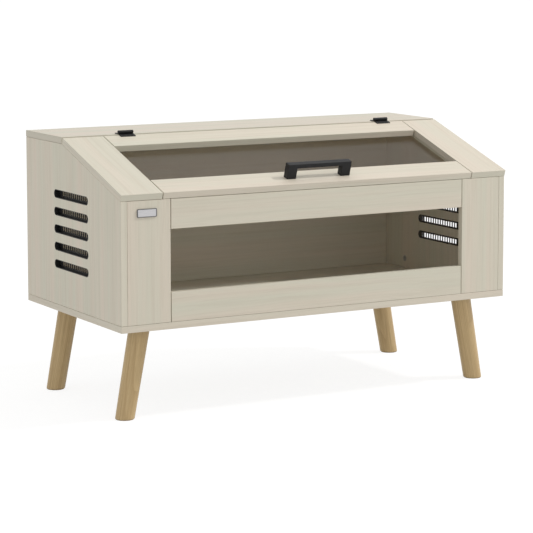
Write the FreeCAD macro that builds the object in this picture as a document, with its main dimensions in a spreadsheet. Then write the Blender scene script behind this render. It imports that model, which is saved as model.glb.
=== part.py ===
"""Vivarium cabinet on four splayed legs, with a sloping lid on two hinges. Sizes are in millimetres.

X runs to the right, Y to the back and Z up. The origin lies on the floor, under the middle of the cabinet.
The strips and the lid are drawn in the slope's own frame: X as before, Y up the slope from its front edge,
and Z out of the sloping surface. The lid is drawn shut.
"""

import FreeCAD, Part
import math
import os

import Sketcher
from FreeCAD import Placement, Rotation, Vector

SIZES = {
    "cabinet": {
        "cabinet_width": 1000.0,
        "cabinet_depth": 504.0,
        "floor_clearance": 203.0,
        "front_height": 301.5,
        "rear_height": 400.0,
        "top_depth": 202.0,
        "board": 15.0,
        "edge_round": 0.8,
        "side_overhang": 0.5,
        "seam_gap": 0.5,
        "cut_overrun": 2.0,
    },
    "front frame": {
        "stile_width": 104.1,
        "bottom_rail_height": 66.0,
        "top_rail_height": 65.2,
        "rail_end_gap": 1.7,
    },
    "window sheets": {
        "pane_thick": 3.0,
        "pane_overlap": 15.0,
        "pane_side_gap": 0.5,
    },
    "vents": {
        "slot_length": 182.5,
        "slot_width": 19.5,
        "slot_pitch": 40.0,
        "slot_count": 5,
        "slot_base": 93.8,
        "slot_shift": 1.8,
        "slot_skew": 3.0,
        "grille_fit": 0.1,
        "grille_wall": 1.2,
        "grille_bar": 2.0,
        "grille_bar_pitch": 10.3,
        "grille_bar_depth": 2.0,
        "grille_window_height": 11.5,
    },
    "slope strips": {
        "strip_width": 96.6,
        "strip_end_gap": 1.2,
    },
    "lid": {
        "lid_side_gap": 2.0,
        "lid_shift": 2.6,
        "lid_rest_gap": 1.2,
        "lid_seat_gap": 0.9,
        "ridge_gap": 0.9,
        "front_rail_width": 68.0,
        "rear_rail_width": 59.0,
        "bumper_radius": 4.0,
        "bumper_gap": 0.2,
        "bumper_inset": 10.0,
    },
    "handle": {
        "handle_length": 164.5,
        "handle_depth": 16.0,
        "handle_height": 35.0,
        "handle_post": 24.0,
        "handle_bar": 10.0,
        "handle_round": 1.2,
        "handle_shift": 2.8,
        "handle_screw_radius": 2.0,
        "handle_screw_grip": 12.0,
        "handle_head_radius": 4.0,
        "handle_head_height": 2.6,
    },
    "hinges": {
        "hinge_length": 37.0,
        "hinge_reach": 17.5,
        "hinge_inset": 156.5,
        "hinge_shift": 2.0,
        "leaf_thick": 2.0,
        "barrel_radius": 4.0,
        "barrel_gap": 0.6,
        "knuckle_gap": 0.3,
        "knuckle_count": 5,
        "pin_radius": 2.0,
        "pin_clearance": 0.05,
        "pin_head_radius": 2.8,
        "pin_head_height": 0.8,
        "leaf_screw_setback": 4.7,
        "leaf_screw_spacing": 22.0,
        "leaf_screw_radius": 1.6,
        "leaf_screw_head": 3.0,
        "leaf_screw_sink": 1.5,
        "leaf_screw_length": 12.0,
    },
    "badge": {
        "badge_width": 46.8,
        "badge_height": 18.0,
        "badge_thick": 2.5,
        "badge_rim": 1.4,
        "badge_sink": 0.6,
        "badge_corner": 2.0,
        "badge_inset": 61.9,
        "badge_drop": 27.6,
    },
    "legs": {
        "leg_lean": 10.5,
        "foot_inset": 38.5,
        "foot_front_inset": 68.0,
        "foot_rear_inset": 65.5,
        "foot_radius": 21.2,
        "leg_top_radius": 23.3,
        "leg_round": 0.5,
        "leg_top_gap": 0.3,
        "glide_radius": 20.5,
        "glide_thick": 2.0,
        "glide_round": 0.8,
        "glide_nail_radius": 1.5,
        "glide_nail_length": 14.0,
        "plate_size": 72.0,
        "plate_thick": 2.5,
        "plate_corner": 8.0,
        "boss_radius": 15.0,
        "hanger_radius": 4.0,
        "hanger_grip": 32.0,
        "hanger_end_gap": 1.4,
        "plate_screw_spacing": 54.0,
    },
    "cam joints and dowels": {
        "cam_radius": 7.5,
        "cam_floor": 3.0,
        "cam_setback": 24.0,
        "bolt_thread_radius": 2.9,
        "bolt_thread_length": 9.0,
        "bolt_shank_radius": 2.5,
        "bolt_neck_radius": 1.6,
        "bolt_neck_length": 3.0,
        "bolt_head_radius": 3.0,
        "bolt_head_length": 2.5,
        "dowel_radius": 4.0,
        "dowel_face_length": 10.0,
        "dowel_edge_length": 20.0,
        "dowel_chamfer": 0.8,
        "joint_clearance": 0.1,
        "hole_spare_depth": 1.0,
    },
    "wood screws": {
        "screw_radius": 1.6,
        "screw_head_radius": 3.2,
        "screw_head_height": 1.6,
        "screw_crown": 0.5,
        "screw_grip": 9.0,
        "screw_tip": 2.0,
        "cross_width": 0.7,
        "cross_depth": 0.8,
    },
}

# Places along a seam or an edge, as shares of its length from the middle.
SIDE_CAM_SHARES = (-0.3, 0.3)
SIDE_DOWEL_SHARES = (-0.4, 0.4)
TOP_DOWEL_SHARES = (-0.3, 0.3)
STRIP_CAM_SHARES = (-0.26, 0.26)
STILE_CAM_SHARES = (-0.25, 0.25)
BACK_CAM_SHARES = (-0.3, 0.3)
BACK_DOWEL_SHARES = (-0.25, 0.25)
RAIL_DOWEL_SHARES = (-0.25, 0.25)
WINDOW_SCREW_SHARES = (-0.47, -0.235, 0.0, 0.235, 0.47)
LID_SCREW_SHARES = (-0.46, -0.23, 0.0, 0.23, 0.46)

# Places in a rail's end, as shares of its height from the window's edge.
RAIL_END_DOWEL_SHARE = 0.28
RAIL_END_CAM_SHARE = 0.62

# How far a driver's recess reaches across its head, as a share of the head's radius.
RECESS_SHARE = 0.6

UP = (0, 0, 1)
DOWN = (0, 0, -1)
RIGHT = (1, 0, 0)
LEFT = (-1, 0, 0)
BACK = (0, 1, 0)
FRONT = (0, -1, 0)
SIDES = {"left": -1, "right": 1}
ENDS = {"front": -1, "rear": 1}

doc = FreeCAD.newDocument("vivarium")
sheet = doc.addObject("Spreadsheet::Sheet", "Sizes")


class Dim:
    """A size: its value, and the expression that gives it from the sheet's cells."""

    def __init__(self, value, text):
        self.value = value
        self.text = text

    def __add__(self, other):
        return Dim(self.value + number(other), f"({self.text} + {words(other)})")

    def __radd__(self, other):
        return self + other

    def __sub__(self, other):
        return Dim(self.value - number(other), f"({self.text} - {words(other)})")

    def __rsub__(self, other):
        return -self + other

    def __mul__(self, other):
        return Dim(self.value * number(other), f"({self.text} * {words(other)})")

    def __rmul__(self, other):
        return self * other

    def __truediv__(self, other):
        return Dim(self.value / number(other), f"({self.text} / {words(other)})")

    def __neg__(self):
        return Dim(-self.value, f"(-1 * {self.text})")


def number(size):
    return size.value if isinstance(size, Dim) else size


def words(size):
    return size.text if isinstance(size, Dim) else f"({size})"


def root(size):
    return Dim(math.sqrt(size.value), f"sqrt({size.text})")


def arctangent(size):
    return Dim(math.degrees(math.atan(size.value)), f"atan({size.text})")


def sine(angle):
    return Dim(math.sin(math.radians(angle.value)), f"sin({angle.text})")


def cosine(angle):
    return Dim(math.cos(math.radians(angle.value)), f"cos({angle.text})")


def whole(size):
    return Dim(math.floor(size.value), f"floor({size.text})")


def fill_sheet():
    """Writes every size into the sheet and returns them by name."""
    found = {}
    row = 1
    for heading, group in SIZES.items():
        sheet.set(f"A{row}", heading)
        row += 1
        for name, value in group.items():
            sheet.set(f"A{row}", name)
            sheet.set(f"B{row}", str(value))
            sheet.setAlias(f"B{row}", name)
            found[name] = Dim(value, f"Sizes.{name}")
            row += 1
    doc.recompute()
    return found


S = fill_sheet()

# The main levels and planes of the cabinet.
HALF_WIDTH = S["cabinet_width"] / 2
HALF_DEPTH = S["cabinet_depth"] / 2
BOARD = S["board"]
SEAM = S["seam_gap"]
UNDERSIDE = S["floor_clearance"]
DECK = UNDERSIDE + BOARD
SLOPE_FRONT = UNDERSIDE + S["front_height"]
TOP = UNDERSIDE + S["rear_height"]
RIDGE = HALF_DEPTH - S["top_depth"]
RUN = S["cabinet_depth"] - S["top_depth"]
RISE = S["rear_height"] - S["front_height"]
SLOPE_LENGTH = root(RUN * RUN + RISE * RISE)
SLOPE_ANGLE = arctangent(RISE / RUN)
SLOPE_COS = RUN / SLOPE_LENGTH
SLOPE_SIN = RISE / SLOPE_LENGTH
SLOPE_TAN = RISE / RUN
STRIP_UNDERSIDE = SLOPE_FRONT - BOARD / SLOPE_COS
CUT_SHIFT = BOARD * SLOPE_TAN
WINDOW_BOTTOM = DECK + S["bottom_rail_height"]
TOP_RAIL_TOP = STRIP_UNDERSIDE - S["lid_rest_gap"] / SLOPE_COS
WINDOW_TOP = TOP_RAIL_TOP - S["top_rail_height"]
WINDOW_HALF = HALF_WIDTH - BOARD - S["stile_width"]
LID_HALF = HALF_WIDTH - S["strip_width"] - S["lid_side_gap"]
SLOPE_START = -CUT_SHIFT
SLOPE_END = SLOPE_LENGTH - CUT_SHIFT
LID_REAR = SLOPE_END - S["ridge_gap"] / SLOPE_COS
LID_OPENING_FRONT = SLOPE_START + S["front_rail_width"]
LID_OPENING_REAR = LID_REAR - S["rear_rail_width"]
LID_RAIL_MIDDLE = (SLOPE_START + LID_OPENING_FRONT) / 2
BARREL_LIFT = S["barrel_radius"] + S["barrel_gap"]
LEAF_SCREW_REACH = S["hinge_reach"] - S["leaf_screw_setback"]
HINGE_OFFSET = HALF_WIDTH - S["hinge_inset"]
LEG_COS = cosine(S["leg_lean"])
LEG_SIN = sine(S["leg_lean"])
LEG_SHIFT = UNDERSIDE * LEG_SIN / LEG_COS

parts = []
links_for_board = {}
links_for_group = {}


def bind(obj, **sizes):
    """Sets properties of an object, each bound to the sheet where the size comes from it."""
    for name, size in sizes.items():
        if isinstance(size, Dim):
            obj.setExpression(name, size.text)
        else:
            setattr(obj, name, size)


def place(obj, at=(0, 0, 0), turn=None, lean=None):
    """Puts an object at a point. turn is a fixed rotation, and lean is an axis with a bound angle."""
    rotation = turn or Rotation()
    if lean:
        axis, angle = lean
        rotation = Rotation(Vector(*axis), number(angle))
    obj.Placement = Placement(Vector(*[number(c) for c in at]), rotation)
    for letter, coordinate in zip("xyz", at):
        if isinstance(coordinate, Dim):
            obj.setExpression(f"Placement.Base.{letter}", coordinate.text)
    if lean:
        obj.setExpression("Placement.Rotation.Angle", words(angle))
    return obj


def on_slope(obj):
    """Puts an object that is drawn in the slope's frame where the slope is."""
    return place(obj, (0, -HALF_DEPTH, SLOPE_FRONT), lean=(RIGHT, SLOPE_ANGLE))


def facing(z_axis, x_axis):
    """The rotation that turns the Z axis to z_axis and the X axis to x_axis."""
    z = Vector(*z_axis)
    x = Vector(*x_axis)
    return Rotation(x, z.cross(x), z, "ZXY")


def new_body(name):
    return doc.addObject("PartDesign::Body", name)


def sketch_on(body, name, role):
    """A sketch on one of the body's own origin planes."""
    sketch = body.newObject("Sketcher::SketchObject", name)
    for feature in body.Origin.OriginFeatures:
        if feature.Role == role:
            sketch.AttachmentSupport = [(feature, "")]
    sketch.MapMode = "FlatFace"
    return sketch


def fix_point(sketch, element, point, x, y):
    """Ties a point of a sketch to its place."""
    for kind, size in (("DistanceX", x), ("DistanceY", y)):
        index = sketch.addConstraint(Sketcher.Constraint(kind, element, point, number(size)))
        if isinstance(size, Dim):
            sketch.setExpression(f"Constraints[{index}]", size.text)


def draw_outline(sketch, points):
    """A closed outline of straight edges through the points."""
    first = sketch.GeometryCount
    count = len(points)
    places = [Vector(number(x), number(y), 0) for x, y in points]
    for i in range(count):
        sketch.addGeometry(Part.LineSegment(places[i], places[(i + 1) % count]), False)
    for i in range(count):
        following = first + (i + 1) % count
        sketch.addConstraint(Sketcher.Constraint("Coincident", first + i, 2, following, 1))
    for i, (x, y) in enumerate(points):
        fix_point(sketch, first + i, 1, x, y)


def draw_rectangle(sketch, low, high):
    draw_outline(sketch, [low, (high[0], low[1]), high, (low[0], high[1])])


def draw_stadium(sketch, centre, length, radius):
    """A slot with round ends, along the sketch's X axis."""
    cx, cy = centre
    half = length / 2 - radius
    corners = [
        (cx - half, cy - radius),
        (cx + half, cy - radius),
        (cx + half, cy + radius),
        (cx - half, cy + radius),
    ]
    ends = [(cx + half, cy), (cx - half, cy)]
    p = [Vector(number(x), number(y), 0) for x, y in corners]
    e = [Vector(number(x), number(y), 0) for x, y in ends]
    first = sketch.GeometryCount
    quarter = math.pi / 2
    circles = [Part.Circle(c, Vector(*UP), number(radius)) for c in e]
    sketch.addGeometry(Part.LineSegment(p[0], p[1]), False)
    sketch.addGeometry(Part.ArcOfCircle(circles[0], -quarter, quarter), False)
    sketch.addGeometry(Part.LineSegment(p[2], p[3]), False)
    sketch.addGeometry(Part.ArcOfCircle(circles[1], quarter, 3 * quarter), False)
    for i in range(4):
        following = first + (i + 1) % 4
        sketch.addConstraint(Sketcher.Constraint("Coincident", first + i, 2, following, 1))
    for line, at in ((first, 0), (first + 2, 2)):
        fix_point(sketch, line, 1, *corners[at])
        fix_point(sketch, line, 2, *corners[at + 1])
    for arc, (x, _) in ((first + 1, ends[0]), (first + 3, ends[1])):
        index = sketch.addConstraint(Sketcher.Constraint("DistanceX", arc, 3, number(x)))
        sketch.setExpression(f"Constraints[{index}]", words(x))


def pad(body, sketch, length):
    feature = body.newObject("PartDesign::Pad", f"{body.Name}_pad")
    feature.Profile = sketch
    bind(feature, Length=length)
    return feature


def pocket(body, sketch, depth):
    """Cuts along the sketch's own normal."""
    feature = body.newObject("PartDesign::Pocket", f"{sketch.Name}_pocket")
    feature.Profile = sketch
    feature.Reversed = True
    bind(feature, Length=depth)
    return feature


def repeat(body, feature, sketch, axis, length, count):
    pattern = body.newObject("PartDesign::LinearPattern", f"{feature.Name}_row")
    pattern.Originals = [feature]
    pattern.Direction = (sketch, [axis])
    bind(pattern, Length=length, Occurrences=count)
    body.Tip = pattern
    return pattern


def round_all(body, feature, radius):
    rounding = body.newObject("PartDesign::Fillet", f"{body.Name}_rounding")
    rounding.Base = (feature, [""])
    rounding.UseAllEdges = True
    bind(rounding, Radius=radius)
    return rounding


def turned(name, points):
    """A body turned about its Z axis, from points of radius and height."""
    body = new_body(name)
    sketch = sketch_on(body, f"{name}_profile", "XZ_Plane")
    draw_outline(sketch, points)
    feature = body.newObject("PartDesign::Revolution", f"{name}_turning")
    feature.Profile = sketch
    feature.ReferenceAxis = (sketch, ["V_Axis"])
    feature.Angle = 360
    return body


def box(name, low, high, turn=None, lean=None):
    """A Part box between two corners."""
    obj = doc.addObject("Part::Box", name)
    bind(obj, Length=high[0] - low[0], Width=high[1] - low[1], Height=high[2] - low[2])
    return place(obj, low, turn, lean)


def cylinder(name, radius, height, at=(0, 0, 0), turn=None, lean=None):
    obj = doc.addObject("Part::Cylinder", name)
    bind(obj, Radius=radius, Height=height)
    return place(obj, at, turn, lean)


def cut(name, base, tool):
    obj = doc.addObject("Part::Cut", name)
    obj.Base = base
    obj.Tool = tool
    return obj


def fuse(name, shapes):
    obj = doc.addObject("Part::MultiFuse", name)
    obj.Shapes = shapes
    return obj


def compound(name, members):
    obj = doc.addObject("Part::Compound", name)
    obj.Links = members
    return obj


def part(obj, label):
    """Marks an object as a finished piece."""
    obj.Label = label
    parts.append(obj)
    return obj


def with_cross(name, blank, top, radius):
    """Cuts a cross recess for a driver into a head, from its top down."""
    half = radius * RECESS_SHARE
    slit = S["cross_width"] / 2
    floor = top - S["cross_depth"]
    ceiling = top + S["cut_overrun"]
    long_x = box(f"{name}_slit_a", (-half, -slit, floor), (half, slit, ceiling))
    long_y = box(f"{name}_slit_b", (-slit, -half, floor), (slit, half, ceiling))
    return cut(name, blank, fuse(f"{name}_cross", [long_x, long_y]))


def fasten(kind, group, frame, at, turn, boards):
    """Puts one fastener in its group, and its hole in each board that it goes through."""
    piece, bore = FASTENERS[kind]
    for target, master, keys in (
        (links_for_group, piece, [group]),
        (links_for_board, bore, boards),
    ):
        link = doc.addObject("App::Link", f"{master.Name}_link")
        link.LinkedObject = master
        place(link, at, turn)
        for key in keys:
            target.setdefault(key, {}).setdefault(frame, []).append(link)


def in_world(name, members):
    """One compound of links, those in the slope's frame put where the slope is."""
    straight = list(members.get("world", []))
    if members.get("slope"):
        straight.append(on_slope(compound(f"{name}_on_slope", members["slope"])))
    return compound(name, straight)


def drilled(blank, label, frame="world"):
    """Cuts a board's holes. Boards of the slope's frame are drilled there, and then put in place."""
    members = links_for_board.get(label)
    if frame == "world":
        return part(cut(label, blank, in_world(f"{label}_holes", members)), label)
    holes = compound(f"{label}_holes", members["slope"])
    return part(on_slope(cut(label, blank, holes)), label)


def plain_on_slope(obj, label):
    return part(on_slope(obj), label)


def stepped_screw(name, head_radius, head_height, radius, length):
    """A pan head screw. Its seat is at zero, its shank points down."""
    crown = S["screw_crown"]
    blank = turned(
        f"{name}_blank",
        [
            (0, -length),
            (radius, -length + S["screw_tip"]),
            (radius, 0),
            (head_radius, 0),
            (head_radius, head_height - crown),
            (head_radius - crown, head_height),
            (0, head_height),
        ],
    )
    return with_cross(name, blank, head_height, head_radius)


def screw_hole(name, radius, length):
    """The hole for a pan head screw, and for nothing above its seat."""
    wide = radius + S["joint_clearance"]
    depth = length + S["hole_spare_depth"]
    return turned(name, [(0, -depth), (wide, -depth), (wide, 0), (0, 0)])


def make_dowel():
    radius = S["dowel_radius"]
    chamfer = S["dowel_chamfer"]
    low = -S["dowel_face_length"]
    high = S["dowel_edge_length"]
    piece = turned(
        "dowel",
        [
            (0, low),
            (radius - chamfer, low),
            (radius, low + chamfer),
            (radius, high - chamfer),
            (radius - chamfer, high),
            (0, high),
        ],
    )
    wide = radius + S["joint_clearance"]
    spare = S["hole_spare_depth"]
    bore = turned(
        "dowel_bore", [(0, low - spare), (wide, low - spare), (wide, high + spare), (0, high + spare)]
    )
    return piece, bore


def make_cam_joint():
    """The bolt stands in one board's face, and the cam lies in the other board, a setback away."""
    clearance = S["joint_clearance"]
    setback = S["cam_setback"]
    thread = S["bolt_thread_length"]
    head_end = setback + S["bolt_head_length"]
    neck = setback - S["bolt_neck_length"]
    bolt = turned(
        "cam_bolt",
        [
            (0, -thread),
            (S["bolt_thread_radius"], -thread),
            (S["bolt_thread_radius"], 0),
            (S["bolt_shank_radius"], 0),
            (S["bolt_shank_radius"], neck),
            (S["bolt_neck_radius"], neck),
            (S["bolt_neck_radius"], setback),
            (S["bolt_head_radius"], setback),
            (S["bolt_head_radius"], head_end),
            (0, head_end),
        ],
    )
    channel_radius = S["bolt_head_radius"] + clearance
    thread_hole = S["bolt_thread_radius"] + clearance
    hole_end = -thread - S["hole_spare_depth"]
    channel = turned(
        "cam_joint_channel",
        [
            (0, hole_end),
            (thread_hole, hole_end),
            (thread_hole, 0),
            (channel_radius, 0),
            (channel_radius, head_end + clearance),
            (0, head_end + clearance),
        ],
    )
    across = facing(RIGHT, DOWN)
    cam_foot = S["cam_floor"] - BOARD / 2
    cam_depth = BOARD - S["cam_floor"]
    disc = cylinder("cam_disc", S["cam_radius"], cam_depth, (cam_foot, 0, setback), across)
    slotted = cut("cam_slotted", disc, channel)
    slit = S["cross_width"] / 2
    half = S["cam_radius"] * RECESS_SHARE
    face = BOARD / 2
    floor = face - S["cross_depth"]
    drive_low = (floor, -slit, setback - half)
    drive_high = (face + S["cut_overrun"], slit, setback + half)
    cam = cut("cam", slotted, box("cam_drive", drive_low, drive_high))
    pocket_radius = S["cam_radius"] + clearance
    pocket_foot = cam_foot - clearance
    pocket_depth = cam_depth + clearance + S["cut_overrun"]
    bore = cylinder("cam_pocket", pocket_radius, pocket_depth, (pocket_foot, 0, setback), across)
    return bolt, cam, fuse("cam_joint_bore", [channel, bore])


def make_leaf_screw():
    radius = S["leaf_screw_radius"]
    head = S["leaf_screw_head"]
    sink = S["leaf_screw_sink"]
    length = S["leaf_screw_length"]
    clearance = S["joint_clearance"]
    blank = turned(
        "leaf_screw_blank",
        [(0, -length), (radius, -length + S["screw_tip"]), (radius, -sink), (head, 0), (0, 0)],
    )
    piece = with_cross("leaf_screw", blank, 0, head)
    depth = length + S["hole_spare_depth"]
    bore = turned(
        "leaf_screw_bore",
        [
            (0, -depth),
            (radius + clearance, -depth),
            (radius + clearance, -sink),
            (head + clearance, 0),
            (head + clearance, S["cut_overrun"]),
            (0, S["cut_overrun"]),
        ],
    )
    return piece, bore


def make_pan_screw(name, extra, radius, head_radius, head_height):
    """A pan head screw whose shank passes a sheet or plate of thickness extra."""
    length = extra + S["screw_grip"]
    piece = stepped_screw(name, head_radius, head_height, radius, length)
    return piece, screw_hole(f"{name}_bore", radius, length)


def make_handle_screw():
    length = BOARD + S["handle_screw_grip"]
    radius = S["handle_screw_radius"]
    piece = stepped_screw("handle_screw", S["handle_head_radius"], S["handle_head_height"], radius, length)
    return piece, screw_hole("handle_screw_bore", radius, length)


screw_sizes = (S["screw_radius"], S["screw_head_radius"], S["screw_head_height"])
cam_bolt, cam_lock, cam_bore = make_cam_joint()
FASTENERS = {
    "dowel": make_dowel(),
    "bolt": (cam_bolt, cam_bore),
    "cam": (cam_lock, cam_bore),
    "leaf_screw": make_leaf_screw(),
    "pane_screw": make_pan_screw("pane_screw", S["pane_thick"], *screw_sizes),
    "plate_screw": make_pan_screw("plate_screw", S["plate_thick"], *screw_sizes),
    "handle_screw": make_handle_screw(),
}


def dowel_joint(frame, at, into, boards):
    """A dowel across a seam. into points from the board whose face is drilled into the other one."""
    across = RIGHT if into[0] == 0 else UP
    fasten("dowel", "wood_dowels", frame, at, facing(into, across), boards)


def cam_joint(frame, at, into, open_side, boards):
    """A bolt and its cam across a seam. The cam's face looks to open_side."""
    turn = facing(into, open_side)
    fasten("bolt", "cam_bolts", frame, at, turn, boards)
    fasten("cam", "cam_locks", frame, at, turn, [])


def join_side(side, sign):
    """The joints of one side panel with the boards that it meets."""
    panel = f"{side}_side_panel"
    inward = RIGHT if sign < 0 else LEFT
    middle = (HALF_WIDTH - BOARD / 2) * sign
    face = (HALF_WIDTH - BOARD) * sign
    for share in SIDE_CAM_SHARES:
        place_y = S["cabinet_depth"] * share
        cam_joint("world", (middle, place_y, DECK), UP, inward, ["bottom_board", panel])
    for share in SIDE_DOWEL_SHARES:
        place_y = S["cabinet_depth"] * share
        dowel_joint("world", (middle, place_y, DECK), UP, ["bottom_board", panel])
    top_middle = RIDGE + S["top_depth"] / 2
    cam_joint("world", (middle, top_middle, TOP - BOARD), DOWN, inward, ["top_board", panel])
    for share in TOP_DOWEL_SHARES:
        place_y = top_middle + S["top_depth"] * share
        dowel_joint("world", (middle, place_y, TOP - BOARD), DOWN, ["top_board", panel])
    strip = f"{side}_slope_strip"
    for share in STRIP_CAM_SHARES:
        along = SLOPE_LENGTH / 2 + SLOPE_LENGTH * share
        cam_joint("slope", (middle, along, -BOARD), DOWN, inward, [strip, panel])
    dowel_joint("slope", (middle, SLOPE_LENGTH / 2, -BOARD), DOWN, [strip, panel])
    stile = f"{side}_front_stile"
    stile_y = -HALF_DEPTH + BOARD / 2
    stile_height = STRIP_UNDERSIDE - DECK
    stile_middle = DECK + stile_height / 2
    for share in STILE_CAM_SHARES:
        place_z = stile_middle + stile_height * share
        cam_joint("world", (face, stile_y, place_z), inward, BACK, [panel, stile])
    dowel_joint("world", (face, stile_y, stile_middle), inward, [panel, stile])
    stile_x = (WINDOW_HALF + S["stile_width"] / 2) * sign
    dowel_joint("world", (stile_x, stile_y, DECK), UP, ["bottom_board", stile])
    rail_x = WINDOW_HALF * sign
    for rail, edge, far_edge in (
        ("bottom", WINDOW_BOTTOM, DECK),
        ("top", WINDOW_TOP, TOP_RAIL_TOP),
    ):
        boards = [stile, f"front_{rail}_rail"]
        cam_z = edge + (far_edge - edge) * RAIL_END_CAM_SHARE
        dowel_z = edge + (far_edge - edge) * RAIL_END_DOWEL_SHARE
        cam_joint("world", (rail_x, stile_y, cam_z), inward, BACK, boards)
        dowel_joint("world", (rail_x, stile_y, dowel_z), inward, boards)
    back_y = HALF_DEPTH - BOARD / 2
    back_height = TOP - BOARD - DECK
    back_middle = DECK + back_height / 2
    for share in BACK_CAM_SHARES:
        place_z = back_middle + back_height * share
        cam_joint("world", (face, back_y, place_z), inward, BACK, [panel, "back_panel"])
    dowel_joint("world", (face, back_y, back_middle), inward, [panel, "back_panel"])


def join_long_boards():
    """The dowels that stand between the long boards and the bottom and top boards."""
    for share in BACK_DOWEL_SHARES:
        place_x = S["cabinet_width"] * share
        back_y = HALF_DEPTH - BOARD / 2
        dowel_joint("world", (place_x, back_y, DECK), UP, ["bottom_board", "back_panel"])
        dowel_joint("world", (place_x, back_y, TOP - BOARD), DOWN, ["top_board", "back_panel"])
    for share in RAIL_DOWEL_SHARES:
        place_x = WINDOW_HALF * 2 * share
        front_y = -HALF_DEPTH + BOARD / 2
        dowel_joint("world", (place_x, front_y, DECK), UP, ["bottom_board", "front_bottom_rail"])


def fasten_window():
    """Screws that hold the front sheet to the back of the frame."""
    group = "front_window_screws"
    seat_y = -HALF_DEPTH + BOARD + S["pane_thick"]
    turn = facing(BACK, RIGHT)
    half_overlap = S["pane_overlap"] / 2
    for rail, place_z in (
        ("front_bottom_rail", WINDOW_BOTTOM - half_overlap),
        ("front_top_rail", WINDOW_TOP + half_overlap),
    ):
        for share in WINDOW_SCREW_SHARES:
            at = (WINDOW_HALF * 2 * share, seat_y, place_z)
            fasten("pane_screw", group, "world", at, turn, ["front_window_pane", rail])
    for side, sign in SIDES.items():
        at = ((WINDOW_HALF + half_overlap) * sign, seat_y, (WINDOW_BOTTOM + WINDOW_TOP) / 2)
        boards = ["front_window_pane", f"{side}_front_stile"]
        fasten("pane_screw", group, "world", at, turn, boards)


def fasten_lid():
    """Screws of the lid's sheet, handle and hinge leaves, and the screws of the fixed leaves."""
    from_below = facing(DOWN, RIGHT)
    half_overlap = S["pane_overlap"] / 2
    for rail, along in (
        ("lid_front_rail", LID_OPENING_FRONT - half_overlap),
        ("lid_rear_rail", LID_OPENING_REAR + half_overlap),
    ):
        for share in LID_SCREW_SHARES:
            at = (S["lid_shift"] + LID_HALF * 2 * share, along, -BOARD - S["pane_thick"])
            boards = ["lid_window_pane", rail]
            fasten("pane_screw", "lid_window_screws", "slope", at, from_below, boards)
    for side, sign in SIDES.items():
        post = S["handle_shift"] + (S["handle_length"] - S["handle_post"]) / 2 * sign
        at = (post, LID_RAIL_MIDDLE, -BOARD)
        boards = ["lid_front_rail", "lid_handle"]
        fasten("handle_screw", "lid_handle_screws", "slope", at, from_below, boards)
        lid_reach = SLOPE_LENGTH + BARREL_LIFT * SLOPE_SIN - LEAF_SCREW_REACH
        for end in ENDS.values():
            screw_x = hinge_place(sign) + S["leaf_screw_spacing"] / 2 * end
            at = (screw_x, lid_reach, S["leaf_thick"])
            boards = ["lid_rear_rail", f"{side}_hinge_lid_leaf"]
            fasten("leaf_screw", "hinge_lid_leaf_screws", "slope", at, Rotation(), boards)
            at = (screw_x, RIDGE + LEAF_SCREW_REACH, TOP + S["leaf_thick"])
            boards = ["top_board", f"{side}_hinge_fixed_leaf"]
            fasten("leaf_screw", "hinge_fixed_leaf_screws", "world", at, Rotation(), boards)


def hinge_place(sign):
    """The middle of a hinge, from left to right."""
    return S["hinge_shift"] + HINGE_OFFSET * sign


def slot_place(sign):
    """The middle of a side's row of vent slots, from front to back."""
    return S["slot_shift"] - S["slot_skew"] * sign


def leg_place(side_sign, end):
    """Where the leg's axis meets the floor."""
    inset = S["foot_front_inset"] if end == "front" else S["foot_rear_inset"]
    foot_y = (HALF_DEPTH - inset) * ENDS[end]
    return (HALF_WIDTH - S["foot_inset"]) * side_sign, foot_y


def fasten_plates():
    """Four screws for each leg plate, from below into the bottom board."""
    seat_z = UNDERSIDE - S["plate_thick"]
    half = S["plate_screw_spacing"] / 2
    for side, sign in SIDES.items():
        for end in ENDS:
            foot_x, foot_y = leg_place(sign, end)
            plate = f"{end}_{side}_leg_plate"
            for dx in ENDS.values():
                for dy in ENDS.values():
                    at = (foot_x - LEG_SHIFT * sign + half * dx, foot_y + half * dy, seat_z)
                    boards = ["bottom_board", plate]
                    turn = facing(DOWN, RIGHT)
                    fasten("plate_screw", "leg_plate_screws", "world", at, turn, boards)


for side_name, side_sign in SIDES.items():
    join_side(side_name, side_sign)
join_long_boards()
fasten_window()
fasten_lid()
fasten_plates()


def flat_board(name, low, high):
    """A level board between two corners, with its edges rounded over."""
    body = new_body(f"{name}_blank")
    sketch = sketch_on(body, f"{name}_outline", "XY_Plane")
    draw_rectangle(sketch, low[:2], high[:2])
    round_all(body, pad(body, sketch, high[2] - low[2]), S["edge_round"])
    return place(body, (0, 0, low[2]))


def upright_board(name, low, high, front, thick):
    """A board that stands across the cabinet, drawn from the front."""
    body = new_body(f"{name}_blank")
    sketch = sketch_on(body, f"{name}_outline", "XZ_Plane")
    draw_rectangle(sketch, low, high)
    round_all(body, pad(body, sketch, thick), S["edge_round"])
    return place(body, (0, front + thick, 0))


def profile_board(name, points, start, width):
    """A board whose outline is drawn from the side, as wide as given from start."""
    body = new_body(f"{name}_blank")
    sketch = sketch_on(body, f"{name}_outline", "YZ_Plane")
    draw_outline(sketch, points)
    round_all(body, pad(body, sketch, width), S["edge_round"])
    return place(body, (start, 0, 0))


def make_bottom_board():
    low = (-HALF_WIDTH, -HALF_DEPTH, UNDERSIDE)
    drilled(flat_board("bottom_board", low, (HALF_WIDTH, HALF_DEPTH, DECK)), "bottom_board")


def make_top_board():
    half = HALF_WIDTH + S["side_overhang"]
    blank = flat_board("top_board", (-half, RIDGE, TOP - BOARD), (half, HALF_DEPTH, TOP))
    drilled(blank, "top_board")


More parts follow.
